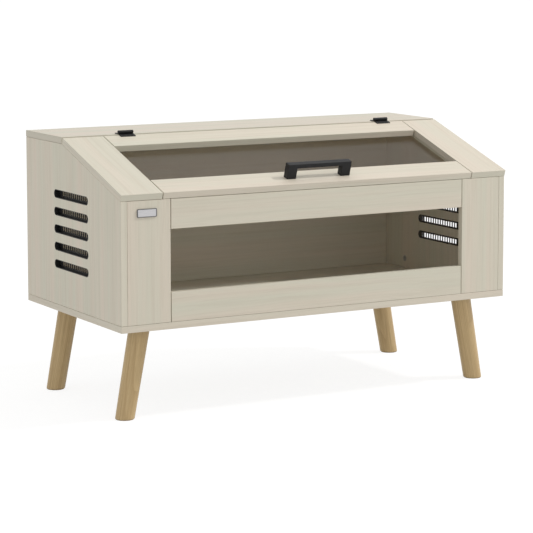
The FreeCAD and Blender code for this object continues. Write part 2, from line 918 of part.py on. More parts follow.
def make_side_panel(side, sign):
    """A five-sided panel under the strip and the top board, with a row of vent slots."""
    label = f"{side}_side_panel"
    under = BOARD + SEAM
    knee = RIDGE + (under / SLOPE_COS - under) / SLOPE_TAN
    points = [
        (-HALF_DEPTH, DECK + SEAM),
        (HALF_DEPTH, DECK + SEAM),
        (HALF_DEPTH, TOP - under),
        (knee, TOP - under),
        (-HALF_DEPTH, SLOPE_FRONT - under / SLOPE_COS),
    ]
    start = -HALF_WIDTH if sign < 0 else HALF_WIDTH - BOARD
    blank = profile_board(label, points, start, BOARD)
    slots = sketch_on(blank, f"{label}_slots", "YZ_Plane")
    centre = (slot_place(sign), DECK + S["slot_base"])
    draw_stadium(slots, centre, S["slot_length"], S["slot_width"] / 2)
    first_slot = pocket(blank, slots, BOARD)
    rise = S["slot_pitch"] * (S["slot_count"] - 1)
    repeat(blank, first_slot, slots, "V_Axis", rise, S["slot_count"])
    drilled(blank, label)


def make_vent_grille(label, sign, height):
    """A black liner that fills a slot through the panel, with upright bars at its inner end."""
    fit = S["grille_fit"]
    wall = S["grille_wall"]
    outer = S["slot_width"] / 2 - fit
    length = S["slot_length"] - fit * 2
    body = new_body(f"{label}_body")
    shell = sketch_on(body, f"{label}_shell", "XY_Plane")
    draw_stadium(shell, (0, 0), length, outer)
    pad(body, shell, BOARD)
    hollow = sketch_on(body, f"{label}_hollow", "XY_Plane")
    draw_stadium(hollow, (0, 0), length - wall * 2, outer - wall)
    pocket(body, hollow, BOARD - S["grille_bar_depth"])
    gap = S["grille_bar_pitch"] - S["grille_bar"]
    count = whole((S["slot_length"] - S["slot_width"]) / S["grille_bar_pitch"])
    row = S["grille_bar_pitch"] * (count - 1)
    first = -row / 2 - gap / 2
    side_light = S["grille_window_height"] / 2
    window = sketch_on(body, f"{label}_window", "XY_Plane")
    draw_rectangle(window, (first, -side_light), (first + gap, side_light))
    opening = pocket(body, window, BOARD)
    repeat(body, opening, window, "H_Axis", row, count)
    inward = RIGHT if sign < 0 else LEFT
    along = BACK if sign < 0 else FRONT
    place(body, (HALF_WIDTH * sign, slot_place(sign), height), facing(inward, along))
    part(body, label)


def make_vents():
    """One grille for each slot, numbered from the lowest."""
    for side, sign in SIDES.items():
        for number_up in range(int(S["slot_count"].value)):
            height = DECK + S["slot_base"] + S["slot_pitch"] * number_up
            make_vent_grille(f"{side}_vent_grille_{number_up + 1}", sign, height)


def make_back_panel():
    half = HALF_WIDTH - BOARD - SEAM
    low = (-half, DECK + SEAM)
    high = (half, TOP - BOARD - SEAM)
    blank = upright_board("back_panel", low, high, HALF_DEPTH - BOARD, BOARD)
    drilled(blank, "back_panel")


def make_front_stile(side, sign):
    """An upright of the front frame, its top cut to the slope and just clear of the lid."""
    label = f"{side}_front_stile"
    stile_top = STRIP_UNDERSIDE - S["lid_seat_gap"] / SLOPE_COS
    points = [
        (-HALF_DEPTH, DECK + SEAM),
        (-HALF_DEPTH + BOARD, DECK + SEAM),
        (-HALF_DEPTH + BOARD, stile_top + CUT_SHIFT),
        (-HALF_DEPTH, stile_top),
    ]
    start = -HALF_WIDTH + BOARD + SEAM if sign < 0 else WINDOW_HALF
    drilled(profile_board(label, points, start, S["stile_width"] - SEAM), label)


def make_front_rails():
    """The rails above and below the window. The top one is lower than the stiles by the lid's gap."""
    half = WINDOW_HALF - S["rail_end_gap"]
    low = (-half, DECK + SEAM)
    blank = upright_board("front_bottom_rail", low, (half, WINDOW_BOTTOM), -HALF_DEPTH, BOARD)
    drilled(blank, "front_bottom_rail")
    points = [
        (-HALF_DEPTH, WINDOW_TOP),
        (-HALF_DEPTH + BOARD, WINDOW_TOP),
        (-HALF_DEPTH + BOARD, TOP_RAIL_TOP + CUT_SHIFT),
        (-HALF_DEPTH, TOP_RAIL_TOP),
    ]
    drilled(profile_board("front_top_rail", points, -half, half * 2), "front_top_rail")


def make_front_window():
    half = WINDOW_HALF + S["pane_overlap"]
    low = (-half, WINDOW_BOTTOM - S["pane_overlap"])
    high = (half, WINDOW_TOP + S["pane_overlap"])
    body = new_body("front_window_pane_blank")
    sketch = sketch_on(body, "front_window_pane_outline", "XZ_Plane")
    draw_rectangle(sketch, low, high)
    pad(body, sketch, S["pane_thick"])
    place(body, (0, -HALF_DEPTH + BOARD + S["pane_thick"], 0))
    drilled(body, "front_window_pane")


def make_slope_strip(side, sign):
    """The fixed board beside the lid, its ends square to the slope. The lid's shift sets its width."""
    label = f"{side}_slope_strip"
    end = SLOPE_END - S["strip_end_gap"] / SLOPE_COS
    points = [(SLOPE_START, 0), (end, 0), (end, -BOARD), (SLOPE_START, -BOARD)]
    inner_width = S["strip_width"] - S["lid_shift"] * sign
    width = inner_width + S["side_overhang"]
    start = -HALF_WIDTH - S["side_overhang"] if sign < 0 else HALF_WIDTH - inner_width
    drilled(profile_board(label, points, start, width), label, "slope")


def make_lid_rails():
    """The lid's front rail is in line with the strips' front, and its rear rail lies at the ridge."""
    start = S["lid_shift"] - LID_HALF
    for label, front, rear in (
        ("lid_front_rail", SLOPE_START, LID_OPENING_FRONT),
        ("lid_rear_rail", LID_OPENING_REAR, LID_REAR),
    ):
        points = [(front, 0), (rear, 0), (rear, -BOARD), (front, -BOARD)]
        drilled(profile_board(label, points, start, LID_HALF * 2), label, "slope")


def make_lid_window():
    """The sheet under the lid's rails is as wide as the lid, and its side edges show beside the strips."""
    half = LID_HALF - S["pane_side_gap"]
    overlap = S["pane_overlap"]
    body = new_body("lid_window_pane_blank")
    sketch = sketch_on(body, "lid_window_pane_outline", "XY_Plane")
    draw_rectangle(sketch, (-half, LID_OPENING_FRONT - overlap), (half, LID_OPENING_REAR + overlap))
    pad(body, sketch, S["pane_thick"])
    place(body, (S["lid_shift"], 0, -BOARD - S["pane_thick"]))
    drilled(body, "lid_window_pane", "slope")


def make_handle():
    """A square pull: two posts and a bar, with room for the fingers under it."""
    half = S["handle_length"] / 2
    inner = half - S["handle_post"]
    height = S["handle_height"]
    grip = height - S["handle_bar"]
    body = new_body("lid_handle_blank")
    sketch = sketch_on(body, "lid_handle_outline", "XZ_Plane")
    points = [
        (-half, 0),
        (-inner, 0),
        (-inner, grip),
        (inner, grip),
        (inner, 0),
        (half, 0),
        (half, height),
        (-half, height),
    ]
    draw_outline(sketch, points)
    round_all(body, pad(body, sketch, S["handle_depth"]), S["handle_round"])
    place(body, (S["handle_shift"], LID_RAIL_MIDDLE + S["handle_depth"] / 2, 0))
    drilled(body, "lid_handle", "slope")


def make_bumpers():
    """Two low pads under the lid's front rail, over the top edge of the front frame."""
    radius = S["bumper_radius"]
    height = S["lid_rest_gap"] - S["bumper_gap"]
    along = (BOARD / 2 - BOARD * SLOPE_SIN) / SLOPE_COS
    pads = []
    for side, sign in SIDES.items():
        at = ((WINDOW_HALF - S["bumper_inset"]) * sign, along, -BOARD - height)
        pads.append(cylinder(f"{side}_bumper", radius, height, at))
    plain_on_slope(compound("lid_bumpers", pads), "lid_bumpers")


def make_hinge_leaf(name, sign, drop, knuckles):
    """A leaf drawn about its pin's axis. Its plate lies a drop below the axis and reaches to sign."""
    half = S["hinge_length"] / 2
    radius = S["barrel_radius"]
    room = radius + S["knuckle_gap"]
    step = S["hinge_length"] / S["knuckle_count"]
    reach = S["hinge_reach"]
    low_y = 0 if sign > 0 else -reach
    plate = box(f"{name}_plate", (-half, low_y, -drop), (half, low_y + reach, S["leaf_thick"] - drop))
    along = facing(RIGHT, DOWN)
    barrel = cylinder(f"{name}_barrel", radius, S["hinge_length"], (-half, 0, 0), along)
    whole = fuse(f"{name}_whole", [plate, barrel])
    bore_start = -half - S["cut_overrun"]
    bore_length = S["hinge_length"] + S["cut_overrun"] * 2
    bore_radius = S["pin_radius"] + S["pin_clearance"]
    tools = [cylinder(f"{name}_bore", bore_radius, bore_length, (bore_start, 0, 0), along)]
    last = int(S["knuckle_count"].value) - 1
    for i in range(last + 1):
        if i in knuckles:
            continue
        low_x = -half + step * i - S["knuckle_gap"] / 2
        high_x = low_x + step + S["knuckle_gap"]
        if i == 0:
            low_x = low_x - S["cut_overrun"]
        if i == last:
            high_x = high_x + S["cut_overrun"]
        low = (low_x, -room, -room - S["cut_overrun"])
        tools.append(box(f"{name}_notch_{i}", low, (high_x, room, room)))
    return cut(f"{name}_blank", whole, fuse(f"{name}_cuts", tools))


def make_hinge(side, sign):
    """A butt hinge on the ridge: a leaf on the top board, a leaf on the lid, and its pin."""
    count = int(S["knuckle_count"].value)
    middle = hinge_place(sign)
    fixed = f"{side}_hinge_fixed_leaf"
    leaf = make_hinge_leaf(fixed, 1, BARREL_LIFT, range(0, count, 2))
    drilled(place(leaf, (middle, RIDGE, TOP + BARREL_LIFT)), fixed)
    moving = f"{side}_hinge_lid_leaf"
    leaf = make_hinge_leaf(moving, -1, BARREL_LIFT * SLOPE_COS, range(1, count, 2))
    axis_along = SLOPE_LENGTH + BARREL_LIFT * SLOPE_SIN
    drilled(place(leaf, (middle, axis_along, BARREL_LIFT * SLOPE_COS)), moving, "slope")
    half = S["hinge_length"] / 2
    end = half + S["pin_head_height"]
    head = S["pin_head_radius"]
    shaft = S["pin_radius"]
    chamfer = S["pin_head_height"] / 2
    label = f"{side}_hinge_pin"
    pin = turned(
        label,
        [
            (0, -end),
            (head - chamfer, -end),
            (head, -end + chamfer),
            (head, -half),
            (shaft, -half),
            (shaft, half),
            (head, half),
            (head, end - chamfer),
            (head - chamfer, end),
            (0, end),
        ],
    )
    place(pin, (middle, RIDGE, TOP + BARREL_LIFT), facing(RIGHT, DOWN))
    part(pin, label)


def make_badge():
    """A blank plate on the left stile, with a raised rim."""
    half_width = S["badge_width"] / 2
    half_height = S["badge_height"] / 2
    rim = S["badge_rim"]
    body = new_body("badge_plate_body")
    sketch = sketch_on(body, "badge_outline", "XZ_Plane")
    draw_rectangle(sketch, (-half_width, -half_height), (half_width, half_height))
    plate = pad(body, sketch, S["badge_thick"])
    doc.recompute()
    rounding = body.newObject("PartDesign::Fillet", "badge_corners")
    rounding.Base = (plate, edges_along(plate.Shape, Vector(*BACK)))
    bind(rounding, Radius=S["badge_corner"])
    field = sketch_on(body, "badge_field", "XZ_Plane")
    draw_rectangle(field, (rim - half_width, rim - half_height), (half_width - rim, half_height - rim))
    field.AttachmentOffset = Placement(Vector(0, 0, 0), Rotation())
    field.setExpression("AttachmentOffset.Base.z", (S["badge_thick"] - S["badge_sink"]).text)
    pocket(body, field, S["badge_sink"] + S["cut_overrun"])
    at = (-HALF_WIDTH + S["badge_inset"], -HALF_DEPTH, STRIP_UNDERSIDE - S["badge_drop"])
    part(place(body, at), "badge_plate")


def edges_along(shape, direction):
    """The names of a shape's straight edges that run along a direction."""
    names = []
    for i, edge in enumerate(shape.Edges):
        tangent = edge.tangentAt(edge.FirstParameter)
        if edge.Curve.TypeId == "Part::GeomLine" and abs(tangent.dot(direction)) > abs(direction.Length) / 2:
            names.append(f"Edge{i + 1}")
    return names


def round_ring_edges(name, base, radius):
    """Rounds the round and oval edges of a turned piece."""
    doc.recompute()
    fillet = doc.addObject("Part::Fillet", name)
    fillet.Base = base
    kinds = ("Part::GeomCircle", "Part::GeomEllipse")
    chosen = [i + 1 for i, e in enumerate(base.Shape.Edges) if e.Curve.TypeId in kinds]
    fillet.Edges = [(i, radius.value, radius.value) for i in chosen]
    return fillet


def make_leg(side, sign, end):
    """A tapered leg on a glide, joined by a hanger bolt to its plate. Its top leans inwards."""
    name = f"{end}_{side}_leg"
    lean = S["leg_lean"]
    lean_axis = BACK if sign < 0 else FRONT
    upright_axis = FRONT if sign < 0 else BACK
    foot_x, foot_y = leg_place(sign, end)
    top_radius = S["leg_top_radius"]
    spare = S["foot_radius"] * LEG_SIN / LEG_COS
    top_height = UNDERSIDE - S["plate_thick"] - top_radius * LEG_SIN - S["leg_top_gap"]
    length = top_height / LEG_COS
    clearance = S["joint_clearance"]
    hanger = S["hanger_radius"]
    overrun = S["cut_overrun"]

    cone = doc.addObject("Part::Cone", f"{name}_cone")
    bind(cone, Radius1=S["foot_radius"], Radius2=top_radius, Height=length + spare)
    place(cone, (0, 0, -spare))
    reach = S["foot_radius"] * 2
    glide_top = S["glide_thick"]
    ground = box(f"{name}_ground", (-reach, -reach, -reach), (reach, reach, glide_top))
    ground_frame = compound(f"{name}_ground_frame", [ground])
    place(ground_frame, lean=(upright_axis, lean))
    trimmed = cut(f"{name}_trimmed", cone, ground_frame)
    rounded = round_ring_edges(f"{name}_rounded", trimmed, S["leg_round"])
    bolt_hole_depth = S["hanger_grip"] + S["hole_spare_depth"]
    bolt_hole = cylinder(
        f"{name}_bolt_hole", hanger + clearance, bolt_hole_depth + overrun, (0, 0, length - bolt_hole_depth)
    )
    nail_hole = cylinder(
        f"{name}_nail_hole",
        S["glide_nail_radius"] + clearance,
        S["glide_nail_length"] + S["hole_spare_depth"],
        (0, 0, glide_top),
    )
    nail_frame = compound(f"{name}_nail_frame", [nail_hole])
    place(nail_frame, lean=(upright_axis, lean))
    leg = cut(name, rounded, fuse(f"{name}_holes", [bolt_hole, nail_frame]))
    part(place(leg, (foot_x, foot_y, 0), lean=(lean_axis, lean)), name)

    glide_radius = S["glide_radius"]
    edge = S["glide_round"]
    nail = S["glide_nail_radius"]
    nail_top = glide_top + S["glide_nail_length"]
    glide = turned(
        f"{name}_glide",
        [
            (0, 0),
            (glide_radius - edge, 0),
            (glide_radius, edge),
            (glide_radius, glide_top),
            (nail, glide_top),
            (nail, nail_top),
            (0, nail_top),
        ],
    )
    part(place(glide, (foot_x, foot_y, 0)), f"{name}_glide")

    half_plate = S["plate_size"] / 2
    plate_low = UNDERSIDE - S["plate_thick"]
    plate_x = foot_x - LEG_SHIFT * sign
    square = box(
        f"{name}_square",
        (plate_x - half_plate, foot_y - half_plate, plate_low),
        (plate_x + half_plate, foot_y + half_plate, UNDERSIDE),
    )
    doc.recompute()
    corners = doc.addObject("Part::Fillet", f"{name}_corners")
    corners.Base = square
    corner = S["plate_corner"].value
    upright_edges = [int(e[4:]) for e in edges_along(square.Shape, Vector(*UP))]
    corners.Edges = [(i, corner, corner) for i in upright_edges]
    boss = cylinder(
        f"{name}_boss",
        S["boss_radius"],
        UNDERSIDE / LEG_COS - length + S["boss_radius"],
        (0, 0, length),
    )
    boss_frame = compound(f"{name}_boss_frame", [boss])
    place(boss_frame, (foot_x, foot_y, 0), lean=(lean_axis, lean))
    reach = S["plate_size"]
    slab = box(
        f"{name}_slab",
        (plate_x - reach, foot_y - reach, top_height - reach),
        (plate_x + reach, foot_y + reach, UNDERSIDE),
    )
    trimmed_boss = doc.addObject("Part::Common", f"{name}_trimmed_boss")
    trimmed_boss.Base = boss_frame
    trimmed_boss.Tool = slab
    blank = fuse(f"{name}_plate_blank", [corners, trimmed_boss])
    hanger_start = length - S["hanger_grip"]
    hanger_end = (UNDERSIDE - S["hanger_end_gap"]) / LEG_COS
    hole = cylinder(
        f"{name}_plate_hole", hanger + clearance, hanger_end + reach - hanger_start, (0, 0, hanger_start)
    )
    hole_frame = compound(f"{name}_plate_hole_frame", [hole])
    place(hole_frame, (foot_x, foot_y, 0), lean=(lean_axis, lean))
    drilled(cut(f"{name}_plate_bored", blank, hole_frame), f"{name}_plate")

    bolt = cylinder(f"{name}_hanger", hanger, hanger_end - hanger_start, (0, 0, hanger_start))
    bolt_frame = compound(f"{name}_hanger_frame", [bolt])
    return place(bolt_frame, (foot_x, foot_y, 0), lean=(lean_axis, lean))


def make_legs():
    hangers = []
    for side, sign in SIDES.items():
        for end in ENDS:
            hangers.append(make_leg(side, sign, end))
    part(compound("leg_hanger_bolts", hangers), "leg_hanger_bolts")


def make_fastener_groups():
    for label, members in links_for_group.items():
        part(in_world(label, members), label)


def check_and_write():
    """Stops on any failed object or bad shape, and only then writes one file for each piece."""
    doc.recompute()
    failed = [o.Name for o in doc.Objects if {"Invalid", "Error"} & set(o.State)]
    if failed:
        raise RuntimeError(f"these objects failed: {failed}")
    for obj in parts:
        if obj.Shape.isNull() or not obj.Shape.isValid() or not obj.Shape.Solids:
            raise RuntimeError(f"{obj.Label} has no valid shape")
    os.makedirs("parts", exist_ok=True)
    for obj in parts:
        obj.Shape.exportStep(f"parts/{obj.Label}.step")
        print(f"{obj.Label}: {len(obj.Shape.Solids)} solids, {obj.Shape.Volume:.0f} mm3")


make_bottom_board()
make_top_board()
make_back_panel()
for side_name, side_sign in SIDES.items():
    make_side_panel(side_name, side_sign)
    make_front_stile(side_name, side_sign)
    make_slope_strip(side_name, side_sign)
    make_hinge(side_name, side_sign)
make_vents()
make_front_rails()
make_front_window()
make_lid_rails()
make_lid_window()
make_handle()
make_bumpers()
make_badge()
make_legs()
make_fastener_groups()
check_and_write()
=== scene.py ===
"""Looks of the vivarium: pale laminate boards with grain, clear sheets, black fittings and oak legs.

Everything is in metres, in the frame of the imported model: X to the right, Y to the back and Z up.
"""

import math

import bpy
from mathutils import Euler, Matrix, Vector


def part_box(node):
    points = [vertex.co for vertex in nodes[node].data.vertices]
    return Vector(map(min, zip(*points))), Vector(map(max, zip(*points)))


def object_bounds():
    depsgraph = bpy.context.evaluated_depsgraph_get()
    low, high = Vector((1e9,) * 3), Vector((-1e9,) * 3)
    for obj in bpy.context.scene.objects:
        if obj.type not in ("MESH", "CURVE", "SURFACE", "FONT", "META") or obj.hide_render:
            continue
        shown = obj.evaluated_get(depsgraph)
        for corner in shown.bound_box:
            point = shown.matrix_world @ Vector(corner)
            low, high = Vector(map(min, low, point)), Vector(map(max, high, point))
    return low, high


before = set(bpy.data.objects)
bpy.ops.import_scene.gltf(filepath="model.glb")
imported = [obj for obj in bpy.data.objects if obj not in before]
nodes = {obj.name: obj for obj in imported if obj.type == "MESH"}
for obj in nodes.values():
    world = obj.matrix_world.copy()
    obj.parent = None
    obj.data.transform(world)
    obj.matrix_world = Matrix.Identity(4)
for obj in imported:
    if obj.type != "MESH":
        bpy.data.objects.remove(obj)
cad_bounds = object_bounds()

MM = 0.001

# The photograph's camera: place and far end in metres, angles in degrees, lens and sensor in millimetres,
# and upward shift as a share of the sensor's width.
CAMERA_PLACE = (-2.50465, -4.43553, 1.06018)
CAMERA_AZIMUTH = -29.4473
CAMERA_ELEVATION = -6.2205
CAMERA_ROLL = -0.0410
CAMERA_LENS = 147.804
CAMERA_SENSOR = 36.0
CAMERA_SHIFT = -0.18
CAMERA_FAR_END = 200.0

# Directions that the grain of a board follows.
X_AXIS = Vector((1, 0, 0))
Y_AXIS = Vector((0, 1, 0))
Z_AXIS = Vector((0, 0, 1))

# Colours as a screen shows them, from 0 to 255.
LAMINATE_WARM = (227, 216, 199)
LAMINATE_COOL = (220, 216, 198)
LAMINATE_DARK = (196, 186, 166)
OAK_LIGHT = (216, 190, 142)
OAK_DARK = (172, 141, 96)
BEECH = (205, 170, 128)
BLACK_PLASTIC = (26, 26, 27)
BLACK_PAINT = (26, 26, 27)
HINGE_PAINT = (17, 17, 18)
ZINC = (196, 198, 200)
BADGE_FIELD = (206, 205, 206)
BADGE_RIM = (84, 84, 86)
GLIDE = (140, 118, 86)
RUBBER = (208, 208, 203)
# Dark brown tint of the clear sheets: painted shade that darkens the inside seen through them, most of all
# through the lid.
SHEET_PAINTED_SHADE_TINT = (82, 64, 40)
# Pale colour of the sheet's sawn edges: partly their own frosting and partly a painted glow of light carried
# along the sheet.
SHEET_EDGE_AND_PAINTED_GLOW = (244, 240, 218)

# How much a clear sheet hides of what is behind it; on the lid this large share lays the dark tint over the
# inside as painted shade.
LID_PAINTED_SHADE_ALPHA = 0.27
WINDOW_ALPHA = 0.05

# How bright the laminate is on some boards and edges, against all the others: painted shade darkens the top
# board and the strips' edges by the lid, and painted light brightens the left side panel.
BOARD_PAINTED_SHADING = {"top_board": 0.952, "left_side_panel": 1.014}
STRIP_EDGE_PAINTED_SHADE = 0.91

# Nearly all noise lies between these two values.
NOISE_LOW = 0.3
NOISE_HIGH = 0.7

# Depths of surface relief.
WOOD_RELIEF = 0.08 * MM
METAL_RELIEF = 0.02 * MM

# How far apart in the grain two seeds that differ by 1 are, in metres, and how far a board's grain sways.
BOARD_SEED_STEP = Vector((1.37, 2.11, 0.73))
LEG_SEED_STEP = Vector((0.71, 0.0, 0.0))
GRAIN_SWAY = 20 * MM

# The oak's growth rings: how far their heart is from a leg's axis, how much further round it each leg's is
# in radians, how many rings there are in a metre, how far they draw in up the leg, and how far they wander.
HEART_OFFSET = 30 * MM
HEART_TURN = 1.7
RINGS_PER_METRE = 260.0
RING_TAPER = 0.020
RING_WANDER = 10 * MM

# The width of the badge's rim as a share of the badge's height, and the least depth of the field below the
# rim's face and above the badge's back.
BADGE_RIM_SHARE = 0.05
BADGE_SKIN = 0.2 * MM

# A face looks along a direction when it is turned less than 45 degrees away from it.
FACING = math.cos(math.radians(45))

# The studio: the floor's size in metres and its levels, the world's light, and the lamp in metres and watts.
FLOOR_SIZE = 160.0
FLOOR_BOUNCE = 0.70
FLOOR_SHOWN = 0.24
FLOOR_GLOW = 0.84
WORLD_COLOUR = (1.0, 0.995, 0.985, 1.0)
WORLD_LIGHT = 0.71
LAMP_PLACE = Vector((6.70, -3.00, 7.40))
LAMP_SIZE = 0.9
LAMP_POWER = 375.0


def shaded(colour, shade):
    return tuple(c * shade for c in colour)


def linear(colour):
    """A screen colour as linear light by the sRGB formula, with an alpha of 1."""
    parts = [c / 255 for c in colour]
    return tuple(c / 12.92 if c <= 0.04045 else ((c + 0.055) / 1.055) ** 2.4 for c in parts) + (1.0,)


def add(tree, kind, inputs=(), **properties):
    """Adds a shader node. inputs are sockets to link or values to set, by place or by name."""
    node = tree.nodes.new("ShaderNode" + kind)
    for name, value in properties.items():
        setattr(node, name, value)
    pairs = inputs.items() if isinstance(inputs, dict) else enumerate(inputs)
    for key, value in pairs:
        if isinstance(value, bpy.types.NodeSocket):
            tree.links.new(value, node.inputs[key])
        else:
            node.inputs[key].default_value = value
    return node


def calculate(tree, operation, *values):
    return add(tree, "Math", values, operation=operation).outputs[0]


def remap(tree, value, low, high, new_low=0.0, new_high=1.0):
    """Turns the range from low to high into the new one, and clamps there."""
    return add(tree, "MapRange", (value, low, high, new_low, new_high)).outputs[0]


def spread(tree, noise, new_low=0.0, new_high=1.0):
    """Turns the usual range of noise into the new one."""
    return remap(tree, noise, NOISE_LOW, NOISE_HIGH, new_low, new_high)


def shift(tree, place, offset):
    return add(tree, "VectorMath", (place, offset), operation="ADD").outputs[0]


def blend_colour(tree, factor, first, second):
    """Mixes two colours. A Mix node takes its factor at input 0 and its colours at 6 and 7."""
    return add(tree, "Mix", {0: factor, 6: first, 7: second}, data_type="RGBA").outputs[2]


def raise_surface(tree, height, depth, strength):
    """A relief as a normal for a shader."""
    return add(tree, "Bump", {"Strength": strength, "Distance": depth, "Height": height}).outputs[0]


def object_place(tree):
    return add(tree, "TexCoord").outputs["Object"]


def even_noise(tree, coords, scale, detail=2.0, roughness=0.5):
    """Noise that is the same in all directions. scale is its count per metre."""
    settings = {"Vector": coords, "Scale": scale, "Detail": detail, "Roughness": roughness}
    return add(tree, "TexNoise", settings).outputs[0]


def streaks(tree, coords, along, across, detail=2.0, roughness=0.5):
    """Noise drawn out along the grain. along and across are counts per metre."""
    stretched = add(tree, "VectorMath", (coords, (along, across, across)), operation="MULTIPLY").outputs[0]
    return even_noise(tree, stretched, 1.0, detail, roughness)


def grain_coords(tree, axes, seed):
    """Object coordinates along the grain and across it, with another part of the print for each seed."""
    place = object_place(tree)
    dots = [add(tree, "VectorMath", (place, tuple(axis)), operation="DOT_PRODUCT") for axis in axes]
    along_axes = add(tree, "CombineXYZ", [dot.outputs["Value"] for dot in dots]).outputs[0]
    return shift(tree, along_axes, seed * BOARD_SEED_STEP)


def new_material(name):
    material = bpy.data.materials.new(name)
    material.use_nodes = True
    material.node_tree.nodes.clear()
    return material, material.node_tree


def finish_material(material, settings):
    """Ends a material with one Principled shader."""
    tree = material.node_tree
    surface = add(tree, "BsdfPrincipled", settings).outputs[0]
    add(tree, "OutputMaterial", {"Surface": surface})
    return material


def laminate(name, axes, seed, shade=1.0):
    """Pale printed laminate: broad soft bands, fine streaks and short pores, with a slight relief."""
    colours = (LAMINATE_WARM, LAMINATE_COOL, LAMINATE_DARK)
    # shade scales all three colours: below 1 it is painted shade, and above 1 it is painted light.
    warm, cool, dark = (linear(shaded(colour, shade)) for colour in colours)
    material, tree = new_material(name)
    coords = grain_coords(tree, axes, seed)
    sway = streaks(tree, coords, along=2.5, across=9.0, detail=1.0)
    swing = calculate(tree, "MULTIPLY", calculate(tree, "SUBTRACT", sway, 0.5), GRAIN_SWAY)
    wavy = shift(tree, coords, add(tree, "CombineXYZ", (0.0, swing, swing)).outputs[0])
    bands = streaks(tree, wavy, along=0.9, across=26.0)
    lines = streaks(tree, wavy, along=2.4, across=170.0, detail=4.0, roughness=0.62)
    fibres = streaks(tree, wavy, along=16.0, across=1100.0)
    pores = remap(tree, streaks(tree, wavy, along=60.0, across=1500.0, detail=0.0), 0.66, 0.78)
    tint = blend_colour(tree, remap(tree, bands, 0.35, 0.65), warm, cool)
    lined = blend_colour(tree, remap(tree, lines, 0.46, 0.80, 0.0, 0.42), tint, dark)
    pore_tone = calculate(tree, "MULTIPLY", pores, 0.12)
    darker = calculate(tree, "ADD", spread(tree, fibres, 0.0, 0.10), pore_tone)
    colour = blend_colour(tree, darker, lined, dark)
    height = calculate(tree, "SUBTRACT", fibres, calculate(tree, "MULTIPLY", pores, 0.6))
    relief = raise_surface(tree, height, WOOD_RELIEF, strength=0.25)
    roughness = spread(tree, lines, 0.46, 0.56)
    return finish_material(material, {"Base Color": colour, "Roughness": roughness, "Normal": relief})


def oak(name, foot, lean, heart_turn):
    """Turned oak in a leg's own frame: growth rings off its axis, fibres and dark pores along it.

    heart_turn is how far round the axis the rings' heart lies, in radians, and it picks the leg's grain too.
    """
    material, tree = new_material(name)
    settings = {"Vector": object_place(tree), "Location": foot, "Rotation": (0.0, lean, 0.0)}
    local = add(tree, "Mapping", settings, vector_type="TEXTURE").outputs[0]
    x, y, z = add(tree, "SeparateXYZ", (local,)).outputs
    coords = shift(tree, add(tree, "CombineXYZ", (z, x, y)).outputs[0], heart_turn * LEG_SEED_STEP)
    heart = (HEART_OFFSET * math.cos(heart_turn), HEART_OFFSET * math.sin(heart_turn), 0.0)
    across = add(tree, "CombineXYZ", (x, y, 0.0)).outputs[0]
    distance = add(tree, "VectorMath", (across, heart), operation="DISTANCE").outputs["Value"]
    taper = calculate(tree, "MULTIPLY", z, RING_TAPER)
    wander = calculate(tree, "MULTIPLY", streaks(tree, coords, along=3.0, across=22.0), RING_WANDER)
    warped = calculate(tree, "ADD", calculate(tree, "ADD", distance, taper), wander)
    rings = calculate(tree, "FRACT", calculate(tree, "MULTIPLY", warped, RINGS_PER_METRE))
    late_wood = calculate(tree, "POWER", rings, 2.2)
    fibres = streaks(tree, coords, along=14.0, across=900.0, detail=3.0)
    lines = streaks(tree, coords, along=5.0, across=220.0, detail=3.0)
    pores = remap(tree, streaks(tree, coords, along=70.0, across=1700.0, detail=0.0), 0.62, 0.74)
    ring_tone = calculate(tree, "MULTIPLY", late_wood, 0.35)
    tone = calculate(tree, "ADD", ring_tone, spread(tree, lines, 0.0, 0.45))
    base = blend_colour(tree, tone, linear(OAK_LIGHT), linear(OAK_DARK))
    pore_tone = calculate(tree, "MULTIPLY", pores, 0.3)
    darker = calculate(tree, "ADD", remap(tree, fibres, 0.35, NOISE_HIGH, 0.0, 0.18), pore_tone)
    colour = blend_colour(tree, darker, base, linear(OAK_DARK))
    relief = raise_surface(tree, calculate(tree, "SUBTRACT", fibres, pores), WOOD_RELIEF, strength=0.3)
    roughness = spread(tree, fibres, 0.42, 0.54)
    return finish_material(material, {"Base Color": colour, "Roughness": roughness, "Normal": relief})


def plain_wood(name):
    """Raw beech for the dowels."""
    material, tree = new_material(name)
    flecks = even_noise(tree, object_place(tree), 900.0)
    colour = blend_colour(tree, spread(tree, flecks), linear(BEECH), linear(OAK_LIGHT))
    return finish_material(material, {"Base Color": colour, "Roughness": spread(tree, flecks, 0.66, 0.74)})


def moulded(name, colour, grain, roughness, depth, gloss=0.5):
    """Plastic, rubber or paint with a fine even texture. grain is its count per metre."""
    material, tree = new_material(name)
    place = object_place(tree)
    fine = even_noise(tree, place, grain, detail=3.0)
    broad = even_noise(tree, place, grain / 25, detail=3.0)
    lighter = tuple(min(255, c * 1.22 + 3) for c in colour)
    tint = blend_colour(tree, remap(tree, broad, 0.35, 0.65), linear(colour), linear(lighter))
    relief = raise_surface(tree, fine, depth, strength=0.35)
    rough = spread(tree, broad, roughness - 0.06, roughness + 0.06)
    settings = {"Base Color": tint, "Roughness": rough, "Specular IOR Level": gloss, "Normal": relief}
    return finish_material(material, settings)


def bright_metal(name, colour, roughness, along, across):
    """Plated or brushed metal. along and across give the brush marks' counts per metre."""
    material, tree = new_material(name)
    coords = grain_coords(tree, (X_AXIS, Y_AXIS, Z_AXIS), 0)
    brush = streaks(tree, coords, along, across, detail=3.0)
    tint = blend_colour(tree, spread(tree, brush), linear(colour), linear(shaded(colour, 0.88)))
    relief = raise_surface(tree, brush, METAL_RELIEF, strength=0.2)
    rough = spread(tree, brush, roughness - 0.07, roughness + 0.07)
    settings = {"Base Color": tint, "Metallic": 1.0, "Roughness": rough, "Normal": relief}
    return finish_material(material, settings)


